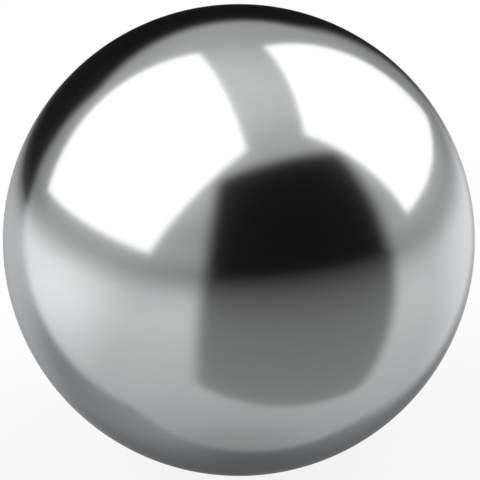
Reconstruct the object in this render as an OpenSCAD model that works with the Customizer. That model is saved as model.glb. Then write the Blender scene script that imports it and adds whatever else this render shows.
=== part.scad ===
// Steel ball
//
// A solid ball, ground and lapped to a true sphere and polished to a mirror.
// It is one piece: it has no seam, flat, hole or coating.
// The origin is the centre of the ball, +Z is up, and sizes are in millimetres.

/* [Ball] */
// Diameter of the finished ball
ball_d = 25.4; // [1:0.1:100]

/* [Drawing] */
// Facets drawn round the equator
ball_facets = 180; // [48:12:360]

/* [Hidden] */

// The ball: every point of its surface is half the diameter from the origin.
module ball() {
    color("silver")
        sphere(d = ball_d, $fn = ball_facets);
}

ball();
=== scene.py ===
"""Polished steel ball in a small product studio.

The ball is one piece: a solid steel sphere, lapped and polished until it mirrors the room round it.
It is built here as an even skin of quads on the radius that the frame gives, with a lapped finish.

The studio is staged and belongs to nothing. Two softboxes lean in over the ball, two black flags lean
away before and behind it, grey sheets of painted light and shade on the mirrored floor fall from the
flags' feet, and a grey room closes it all in. The ball sees them and the camera doesn't: it sees the
ball on a pale sweep before a pale backdrop, and the ball doesn't mirror that sweep.

Everything is in metres in the frame's own axes: +Z is up and the camera looks along +Y.
Azimuths turn from the camera's side, 0, towards +X, 90. Elevations rise from the horizon.
A tone is a brightness, where 1 is white.
"""

import logging
import math
from dataclasses import dataclass, replace
from enum import Enum

import bmesh
import bpy
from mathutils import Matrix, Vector


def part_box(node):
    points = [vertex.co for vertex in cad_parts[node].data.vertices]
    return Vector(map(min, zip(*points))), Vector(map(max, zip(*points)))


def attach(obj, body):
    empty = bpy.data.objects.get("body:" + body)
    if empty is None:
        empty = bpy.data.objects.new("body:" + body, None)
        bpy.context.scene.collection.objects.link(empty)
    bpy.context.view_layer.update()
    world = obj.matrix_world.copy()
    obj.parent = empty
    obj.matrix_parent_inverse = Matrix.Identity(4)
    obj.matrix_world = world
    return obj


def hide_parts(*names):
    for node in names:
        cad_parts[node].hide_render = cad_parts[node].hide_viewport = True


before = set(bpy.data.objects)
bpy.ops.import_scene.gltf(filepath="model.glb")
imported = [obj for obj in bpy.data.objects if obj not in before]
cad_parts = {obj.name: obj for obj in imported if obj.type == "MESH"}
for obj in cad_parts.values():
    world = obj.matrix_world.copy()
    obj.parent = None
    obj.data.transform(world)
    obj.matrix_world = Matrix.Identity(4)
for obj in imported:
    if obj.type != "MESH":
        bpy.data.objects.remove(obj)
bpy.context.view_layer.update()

LOG = logging.getLogger("steel_ball")

Colour = tuple[float, float, float]
Turn = tuple[float, float, float]
SocketValue = bpy.types.NodeSocket | float | tuple[float, ...]
Stops = tuple[tuple[float, float], ...]

WHITE = (1.0, 1.0, 1.0)


class SeenBy(Enum):
    """The rays that a staged thing answers."""

    CAMERA = ("visible_camera", "visible_diffuse", "visible_transmission")
    STUDIO = ("visible_diffuse", "visible_glossy")
    MIRROR = ("visible_glossy",)

    def apply(self, thing: bpy.types.Object) -> None:
        """Hide a thing from every ray but these, and let the lamps' light pass it."""
        for flag in ("visible_camera", "visible_diffuse", "visible_glossy", "visible_transmission"):
            setattr(thing, flag, flag in self.value)
        thing.visible_shadow = False


def direction(azimuth: float, elevation: float) -> Vector:
    """Return the unit vector that points along an azimuth and an elevation.

    Args:
        azimuth: Degrees from the camera's side towards +X.
        elevation: Degrees above the horizon.

    Returns:
        A unit vector from the ball's centre.
    """
    turn = math.radians(azimuth)
    rise = math.radians(elevation)
    return Vector((math.sin(turn) * math.cos(rise), -math.cos(turn) * math.cos(rise), math.sin(rise)))


class NodeBoard:
    """A node tree that is cleared and laid out again, one node at a time."""

    def __init__(self, owner: bpy.types.Material | bpy.types.World) -> None:
        """Clear the owner's tree and keep it."""
        owner.use_nodes = True
        self.tree = owner.node_tree
        self.tree.nodes.clear()

    def node(
        self, kind: str, inputs: dict[str | int, SocketValue] | None = None, **settings: object
    ) -> bpy.types.Node:
        """Add a node.

        Args:
            kind: The node's type name, without the leading "ShaderNode".
            inputs: What goes into its inputs, by name or place: a socket is linked and a value is set.
            settings: The node's own settings, such as a math operation.

        Returns:
            The new node.
        """
        made = self.tree.nodes.new("ShaderNode" + kind)
        for name, value in settings.items():
            setattr(made, name, value)
        for key, value in (inputs or {}).items():
            if isinstance(value, bpy.types.NodeSocket):
                self.tree.links.new(value, made.inputs[key])
            else:
                made.inputs[key].default_value = value
        return made

    def math(self, operation: str, *values: SocketValue) -> bpy.types.NodeSocket:
        """Add a math node and return its result."""
        return self.node("Math", dict(enumerate(values)), operation=operation).outputs[0]

    def vector(self, operation: str, *values: SocketValue) -> bpy.types.Node:
        """Add a vector math node and return it."""
        return self.node("VectorMath", dict(enumerate(values)), operation=operation)

    def smooth(self, value: SocketValue, low: float, high: float) -> bpy.types.NodeSocket:
        """Return 0 at low and 1 at high, with a smooth step between them."""
        limits = {0: value, 1: low, 2: high}
        return self.node("MapRange", limits, interpolation_type="SMOOTHSTEP").outputs[0]

    def blend(self, factor: SocketValue, first: SocketValue, second: SocketValue) -> bpy.types.NodeSocket:
        """Return a number that goes from first to second as the factor goes from 0 to 1."""
        return self.node("Mix", {0: factor, 2: first, 3: second}, data_type="FLOAT").outputs[0]

    def blend_colours(self, factor: SocketValue, first: Colour, second: Colour) -> bpy.types.NodeSocket:
        """Return a colour that goes from first to second as the factor goes from 0 to 1."""
        colours = {0: factor, 6: (*first, 1.0), 7: (*second, 1.0)}
        return self.node("Mix", colours, data_type="RGBA").outputs[2]

    def tones(self, place: SocketValue, stops: Stops) -> SocketValue:
        """Return the tone at a place, drawn smoothly past its stops.

        Args:
            place: Where to read, from 0 to 1.
            stops: Pairs of a place and the tone near it, in rising order. One stop is one even tone.

        Returns:
            The tone's socket, or the tone itself when it is even.
        """
        if len(stops) == 1:
            return stops[0][1]
        ramp = self.node("ValToRGB", {0: place})
        ramp.color_ramp.interpolation = "B_SPLINE"
        elements = ramp.color_ramp.elements
        while len(elements) < len(stops):
            elements.new(1.0)
        for element, (at, tone) in zip(elements, stops):
            element.position = at
            element.color = (tone, tone, tone, 1.0)
        return ramp.outputs[0]

    def output(self, kind: str, shader: bpy.types.NodeSocket) -> None:
        """Send a shader to the surface of a "Material" or "World" output."""
        self.node("Output" + kind, {"Surface": shader})


def seen_directly(board: NodeBoard) -> bpy.types.NodeSocket:
    """Return 1 for rays from the camera, a mirror or glass, and 0 for the light's own bounces."""
    path = board.node("LightPath")
    looks = board.math("MAXIMUM", path.outputs["Is Camera Ray"], path.outputs["Is Glossy Ray"])
    return board.math("MAXIMUM", looks, path.outputs["Is Transmission Ray"])


@dataclass(frozen=True)
class LappedSteel:
    """Hardened steel, lapped and polished: a soft mirror with a trace of the lapping left in it.

    Haze is where the last polish left the skin a little duller. Tracks are the fine lines that the
    lapping plates leave, which circle the ball about several axes.
    """

    name: str = "polished_steel"
    dull: Colour = (0.592, 0.600, 0.600)
    bright: Colour = (0.612, 0.620, 0.620)
    grazing: Colour = (0.78, 0.78, 0.79)
    roughness: float = 0.13
    haze_depth: float = 0.006
    haze_size: float = 0.0035
    haze_detail: float = 4.0
    haze_limits: tuple[float, float] = (0.3, 0.7)
    track_width: float = 0.00012
    track_length: float = 0.003
    track_height: float = 2.0e-8
    track_detail: float = 2.0
    track_limits: tuple[float, float] = (1.2, 1.8)
    track_share: float = 0.5
    track_turns: tuple[Turn, ...] = ((0.0, 1.57, 0.0), (0.0, 1.35, 0.6), (0.0, 1.75, -0.9))

    def material(self) -> bpy.types.Material:
        """Build the finish as a material."""
        made = bpy.data.materials.new(self.name)
        board = NodeBoard(made)
        place = board.node("TexCoord").outputs["Object"]
        haze = self.haze(board, place)
        tracks = self.tracks(board, place)
        shine = board.blend(self.track_share, haze, board.smooth(tracks, *self.track_limits))
        colour = board.blend_colours(shine, self.dull, self.bright)
        rough = board.blend(haze, self.roughness + self.haze_depth, self.roughness - self.haze_depth)
        relief = board.node("Bump", {"Distance": self.track_height, "Height": tracks})
        steel = {
            "Base Color": colour,
            "Metallic": 1.0,
            "Roughness": rough,
            "Specular Tint": (*self.grazing, 1.0),
            "Normal": relief.outputs["Normal"],
        }
        board.output("Material", board.node("BsdfPrincipled", steel).outputs["BSDF"])
        return made

    def haze(self, board: NodeBoard, place: bpy.types.NodeSocket) -> bpy.types.NodeSocket:
        """Return 0 to 1 in soft patches, from dull to bright."""
        patches = {"Vector": place, "Scale": 1.0 / self.haze_size, "Detail": self.haze_detail}
        return board.smooth(board.node("TexNoise", patches).outputs[0], *self.haze_limits)

    def tracks(self, board: NodeBoard, place: bpy.types.NodeSocket) -> bpy.types.NodeSocket:
        """Return the height of the lapping tracks, the sum of one family for each turn."""
        height: SocketValue = 0.0
        stretch = (self.track_width, self.track_length, self.track_length)
        for turn in self.track_turns:
            laid = {"Vector": place, "Rotation": turn, "Scale": stretch}
            turned = board.node("Mapping", laid, vector_type="TEXTURE")
            lines = {"Vector": turned.outputs[0], "Scale": 1.0, "Detail": self.track_detail}
            height = board.math("ADD", height, board.node("TexNoise", lines).outputs[0])
        return height


@dataclass
class LappedBall:
    """The ball's skin: an even grid of quads with every corner on the sphere."""

    radius: float
    finish: LappedSteel
    name: str = "lapped_ball"
    cuts: int = 95

    def build(self) -> bpy.types.Object:
        """Build the skin from a cube, dress it and fix it to the frame.

        Returns:
            The ball, which stands for the frame's own.
        """
        skin = bmesh.new()
        bmesh.ops.create_cube(skin, size=2.0)
        bmesh.ops.subdivide_edges(skin, edges=skin.edges[:], cuts=self.cuts, use_grid_fill=True)
        for corner in skin.verts:
            corner.co = self.on_sphere(corner.co)
        for face in skin.faces:
            face.smooth = True
        mesh = bpy.data.meshes.new(self.name)
        skin.to_mesh(mesh)
        skin.free()
        mesh.materials.append(self.finish.material())
        ball = bpy.data.objects.new(self.name, mesh)
        bpy.context.scene.collection.objects.link(ball)
        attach(ball, "root")
        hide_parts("ball")
        return ball

    def on_sphere(self, place: Vector) -> Vector:
        """Carry a point of the cube from -1 to 1 out to the sphere, with even angles between points."""
        spread = Vector([math.tan(along * math.pi / 4) for along in place])
        return spread.normalized() * self.radius


def stage(name: str, mesh: bpy.types.Mesh, seen: SeenBy, material: bpy.types.Material) -> bpy.types.Object:
    """Put a mesh on the stage, dressed, for the rays that may see it.

    Args:
        name: The thing's name.
        mesh: Its mesh, in the frame's own metres.
        seen: The rays that it answers.
        material: Its finish.

    Returns:
        The staged thing.
    """
    mesh.materials.append(material)
    thing = bpy.data.objects.new(name, mesh)
    bpy.context.scene.collection.objects.link(thing)
    seen.apply(thing)
    return thing


@dataclass(frozen=True)
class Edge:
    """A level edge of a sheet: how far out and how high it is, and how far it runs to each side."""

    out: float
    height: float
    left: float
    right: float

    def ends(self, azimuth: float) -> tuple[Vector, Vector]:
        """Return its left and right ends, for a sheet that faces the ball from an azimuth."""
        ahead = direction(azimuth, 0.0) * self.out + Vector((0.0, 0.0, self.height))
        side = direction(azimuth + 90.0, 0.0)
        return ahead + side * self.left, ahead + side * self.right


@dataclass
class Sheet:
    """A flat glowing sheet between two level edges, which thins out softly at its sides and head.

    Its tone runs from its foot to its head, and shares scale that from its left to its right.
    Soft says how much of the sheet the left, right and head edges take to fade.
    """

    name: str
    azimuth: float
    foot: Edge
    head: Edge
    soft: tuple[float, float, float]
    tones: Stops
    shares: Stops | None = None
    tint: Colour = WHITE
    seen: SeenBy = SeenBy.STUDIO
    cells: int = 24

    def build(self) -> bpy.types.Object:
        """Build the sheet as a grid of cells and stage it."""
        foot_left, foot_right = self.foot.ends(self.azimuth)
        head_left, head_right = self.head.ends(self.azimuth)
        columns = self.cells + 1
        steps = [step / self.cells for step in range(columns)]
        grid = [(u, v) for v in steps for u in steps]
        points = [foot_left.lerp(foot_right, u).lerp(head_left.lerp(head_right, u), v) for u, v in grid]
        starts = [row * columns + column for row in range(self.cells) for column in range(self.cells)]
        faces = [(at, at + 1, at + 1 + columns, at + columns) for at in starts]
        mesh = bpy.data.meshes.new(self.name)
        mesh.from_pydata(points, [], faces)
        layer = mesh.uv_layers.new(name="sheet")
        for loop in mesh.loops:
            layer.data[loop.index].uv = grid[loop.vertex_index]
        return stage(self.name, mesh, self.seen, self.material())

    def material(self) -> bpy.types.Material:
        """Build the sheet's glow, which thins out to nothing at the soft edges."""
        made = bpy.data.materials.new(self.name)
        board = NodeBoard(made)
        place = board.node("SeparateXYZ", {0: board.node("TexCoord").outputs["UV"]})
        across, along = place.outputs[0], place.outputs[1]
        tone = board.tones(along, self.tones)
        if self.shares:
            tone = board.math("MULTIPLY", tone, board.tones(across, self.shares))
        soft_left, soft_right, soft_head = self.soft
        left = board.smooth(across, 0.0, soft_left)
        right = board.smooth(across, 1.0, 1.0 - soft_right)
        head = board.smooth(along, 1.0, 1.0 - soft_head)
        cover = board.math("MULTIPLY", board.math("MULTIPLY", left, right), head)
        clear = board.node("BsdfTransparent").outputs[0]
        light = board.node("Emission", {"Color": (*self.tint, 1.0), "Strength": tone}).outputs[0]
        board.output("Material", board.node("MixShader", {0: cover, 1: clear, 2: light}).outputs[0])
        made.cycles.emission_sampling = "NONE"
        return made


@dataclass
class Softbox:
    """A softbox that leans in over the ball: an area lamp as large as its diffuser.

    A lamp doesn't hide what is behind it, so the room's own tone there adds to its tone.
    """

    name: str
    azimuth: float
    foot: Edge
    head: Edge
    tone: float

    def build(self) -> bpy.types.Object:
        """Hang the lamp between its edges, square to its own face."""
        foot_left, foot_right = self.foot.ends(self.azimuth)
        head_left, head_right = self.head.ends(self.azimuth)
        across = foot_right - foot_left
        up = head_left - foot_left
        lamp = bpy.data.lights.new(self.name, "AREA")
        lamp.shape = "RECTANGLE"
        lamp.size = across.length
        lamp.size_y = up.length
        lamp.energy = self.tone * across.length * up.length * math.pi
        thing = bpy.data.objects.new(self.name, lamp)
        bpy.context.scene.collection.objects.link(thing)
        thing.location = (foot_left + head_right) / 2
        thing.rotation_mode = "QUATERNION"
        thing.rotation_quaternion = up.cross(across).to_track_quat("-Z", "Y")
        thing.visible_camera = False
        return thing


@dataclass(frozen=True)
class Pool:
    """A soft pool of light on the room, or of shade where its tone is below 0."""

    azimuth: float
    elevation: float
    spread: float
    tone: float


@dataclass(frozen=True)
class Surface:
    """The room's walls or its floor: a tone that follows the rise from the horizon, and pools of light."""

    rises: Stops
    pools: tuple[Pool, ...]
    tint: Colour = WHITE

    def tone(self, board: NodeBoard, away: SocketValue, rise: SocketValue) -> SocketValue:
        """Lay out the surface's tone.

        Args:
            board: The room's nodes.
            away: The direction from the ball.
            rise: How far it stands from the horizon, from 0 to 1 straight up or straight down.

        Returns:
            The tone in that direction.
        """
        heights = tuple((math.sin(math.radians(angle)), level) for angle, level in self.rises)
        tone = board.tones(rise, heights)
        for pool in self.pools:
            aim = tuple(direction(pool.azimuth, pool.elevation))
            nearness = board.vector("DOT_PRODUCT", away, aim).outputs[1]
            light = board.smooth(nearness, math.cos(math.radians(pool.spread)), 1.0)
            tone = board.math("MULTIPLY_ADD", light, pool.tone, tone)
        return tone


@dataclass
class Room:
    """The grey room round the studio, whose walls meet its floor in a soft line at the horizon."""

    walls: Surface
    floor: Surface
    horizon: float = 8.0
    radius: float = 20.0
    roundness: int = 4
    name: str = "room"

    def build(self) -> bpy.types.Object:
        """Close the room round the studio."""
        shell = bmesh.new()
        bmesh.ops.create_icosphere(shell, subdivisions=self.roundness, radius=self.radius)
        mesh = bpy.data.meshes.new(self.name)
        shell.to_mesh(mesh)
        shell.free()
        return stage(self.name, mesh, SeenBy.STUDIO, self.material())

    def material(self) -> bpy.types.Material:
        """Build the room's glow, from its walls and its floor."""
        made = bpy.data.materials.new(self.name)
        board = NodeBoard(made)
        away = board.vector("NORMALIZE", board.node("TexCoord").outputs["Object"]).outputs[0]
        height = board.node("SeparateXYZ", {0: away}).outputs[2]
        walls = self.walls.tone(board, away, height)
        floor = self.floor.tone(board, away, board.math("MULTIPLY", height, -1.0))
        edge = math.sin(math.radians(self.horizon))
        above = board.smooth(height, -edge, edge)
        tint = board.blend_colours(above, self.floor.tint, self.walls.tint)
        tone = board.blend(above, floor, walls)
        board.output("Material", board.node("Emission", {"Color": tint, "Strength": tone}).outputs[0])
        made.cycles.emission_sampling = "NONE"
        return made


@dataclass
class Sweep:
    """The pale floor under the ball, which keeps its shadow and turns plain white further out."""

    level: float
    radius: float = 2.0
    colour: Colour = (0.85, 0.85, 0.85)
    own_light: float = 0.85
    shadow_ends: tuple[float, float] = (0.05, 0.20)
    sides: int = 96
    name: str = "sweep"

    def build(self) -> bpy.types.Object:
        """Lay the floor just under the ball."""
        disc = bmesh.new()
        bmesh.ops.create_circle(disc, cap_ends=True, segments=self.sides, radius=self.radius)
        bmesh.ops.translate(disc, verts=disc.verts[:], vec=(0.0, 0.0, self.level))
        mesh = bpy.data.meshes.new(self.name)
        disc.to_mesh(mesh)
        disc.free()
        return stage(self.name, mesh, SeenBy.CAMERA, self.material())

    def material(self) -> bpy.types.Material:
        """Build the pale floor: lit by the studio, and partly white by itself where it is looked at."""
        made = bpy.data.materials.new(self.name)
        board = NodeBoard(made)
        reach = board.vector("LENGTH", board.node("TexCoord").outputs["Object"]).outputs[1]
        fade = board.smooth(reach, *self.shadow_ends)
        share = board.math("MULTIPLY", seen_directly(board), board.blend(fade, self.own_light, 1.0))
        matt = board.node("BsdfDiffuse", {"Color": (*self.colour, 1.0)})
        white = board.node("Emission", {"Color": (*WHITE, 1.0), "Strength": 1.0})
        mixed = board.node("MixShader", {0: share, 1: matt.outputs[0], 2: white.outputs[0]})
        board.output("Material", mixed.outputs[0])
        made.cycles.emission_sampling = "NONE"
        return made


@dataclass
class Backdrop:
    """The world beyond the studio: white at the horizon, and pale grey from a few degrees above it.

    The ball's brightest lights stand out from the grey when it is looked at from low down.
    """

    grey: float = 0.72
    rise: float = 8.0
    name: str = "backdrop"

    def build(self) -> bpy.types.World:
        """Make the world."""
        world = bpy.data.worlds.new(self.name)
        bpy.context.scene.world = world
        board = NodeBoard(world)
        height = board.node("SeparateXYZ", {0: board.node("TexCoord").outputs["Generated"]}).outputs[2]
        climb = board.smooth(height, 0.0, math.sin(math.radians(self.rise)))
        tone = board.blend(climb, 1.0, self.grey)
        sky = board.node("Background", {"Color": (*WHITE, 1.0), "Strength": tone})
        board.output("World", sky.outputs[0])
        world.cycles.sampling_method = "NONE"
        return world


@dataclass
class ProductCamera:
    """A camera that looks down a little on the ball and fills its frame with it."""

    ball_radius: float
    lens: float = 50.0
    sensor: float = 36.0
    elevation: float = 20.0
    fill: float = 0.9835
    shift: float = 0.0024
    clip_radii: tuple[float, float] = (0.1, 1000.0)
    name: str = "product_camera"

    def build(self) -> bpy.types.Object:
        """Place the camera and make it the scene's own."""
        data = bpy.data.cameras.new(self.name)
        data.lens = self.lens
        data.sensor_width = self.sensor
        data.shift_x = self.shift
        data.clip_start, data.clip_end = (self.ball_radius * reach for reach in self.clip_radii)
        half_angle = math.atan(self.fill * self.sensor / (2 * self.lens))
        back = direction(0.0, self.elevation)
        camera = bpy.data.objects.new(self.name, data)
        bpy.context.scene.collection.objects.link(camera)
        camera.location = back * self.ball_radius / math.sin(half_angle)
        camera.rotation_mode = "QUATERNION"
        camera.rotation_quaternion = (-back).to_track_quat("-Z", "Y")
        bpy.context.scene.camera = camera
        return camera


def staging() -> list[Room | Sheet | Softbox]:
    """Lay out the studio round the ball.

    Returns:
        The things to stage, in order.
    """
    front = 28.0
    behind = 195.0
    left = 286.0
    right = 113.0
    front_foot = Edge(1.0, 0.08, -1.08, 1.08)
    back_foot = Edge(1.0, 0.0, -1.13, 1.30)
    left_foot = Edge(1.0, 0.21, -0.58, 0.68)
    right_foot = Edge(1.0, 0.23, -0.55, 0.46)
    softbox_tone = 1.25
    return [
        Room(
            walls=Surface(
                rises=((0, 0.15), (10, 0.55), (20, 0.40), (35, 0.65), (60, 0.50), (90, 0.90)),
                pools=(
                    Pool(-75, 25, spread=60, tone=0.12),
                    Pool(105, 15, spread=45, tone=0.12),
                    Pool(-140, 10, spread=45, tone=-0.20),
                    Pool(160, 25, spread=45, tone=-0.08),
                ),
            ),
            floor=Surface(
                rises=((0, 0.63), (15, 0.88), (30, 0.73), (50, 0.67), (70, 0.54), (90, 0.40)),
                pools=(
                    Pool(-100, 10, spread=60, tone=0.48),
                    Pool(150, 5, spread=60, tone=0.44),
                ),
                tint=(1.0, 1.0, 1.01),
            ),
        ),
        Sheet(
            "front_flag",
            front,
            front_foot,
            replace(front_foot, out=1.1, height=1.6),
            soft=(0.14, 0.16, 0.21),
            tones=((0.0, 0.008),),
        ),
        Sheet(
            "back_flag",
            behind,
            back_foot,
            replace(back_foot, out=1.57, height=1.54),
            soft=(0.16, 0.11, 0.31),
            tones=((0.0, 0.09), (0.08, 0.0), (1.0, 0.005)),
        ),
        # Painted shade on the mirrored floor below the front flag: darkest at the flag's foot, paler
        # further down.
        Sheet(
            "front_floor_shade",
            front,
            front_foot,
            Edge(0.85, -1.45, -1.18, 1.02),
            soft=(0.13, 0.13, 0.07),
            tones=((0.0, 0.0), (0.12, 0.17), (0.30, 0.24), (1.0, 0.36)),
            tint=(0.98, 1.0, 0.98),
            seen=SeenBy.MIRROR,
        ),
        # Painted light and shade on the mirrored floor behind the ball: a bright strip near the back
        # flag's foot, then darker further down.
        Sheet(
            "back_floor_light_and_shade",
            behind,
            Edge(1.0, 0.0, -1.37, 1.26),
            Edge(-0.03, -1.85, -1.34, 1.28),
            soft=(0.21, 0.12, 0.14),
            tones=(
                (0.0, 0.05),
                (0.07, 0.85),
                (0.16, 0.80),
                (0.28, 0.65),
                (0.40, 0.30),
                (0.60, 0.35),
                (1.00, 0.38),
            ),
            # The dip in the middle of the shares is the ball's own painted shadow on that floor.
            shares=((0.0, 1.0), (0.25, 0.85), (0.50, 0.2), (0.75, 1.35), (1.0, 1.2)),
            tint=(0.99, 1.0, 1.02),
            seen=SeenBy.MIRROR,
        ),
        Softbox(
            "right_softbox",
            right,
            right_foot,
            replace(right_foot, out=0.36, height=1.07),
            softbox_tone,
        ),
        Softbox(
            "left_softbox",
            left,
            left_foot,
            replace(left_foot, out=0.11, height=1.14),
            softbox_tone,
        ),
    ]


def main() -> None:
    """Build the ball, its studio and the camera."""
    logging.basicConfig(level=logging.INFO, format="%(name)s: %(message)s")
    low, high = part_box("ball")
    radius = (high.z - low.z) / 2
    ball = LappedBall(radius, LappedSteel()).build()
    Backdrop().build()
    Sweep(low.z).build()
    for thing in staging():
        thing.build()
        LOG.info("staged %s", thing.name)
    ProductCamera(radius).build()
    bpy.context.scene.view_settings.view_transform = "Standard"


if __name__ == "__main__":
    main()
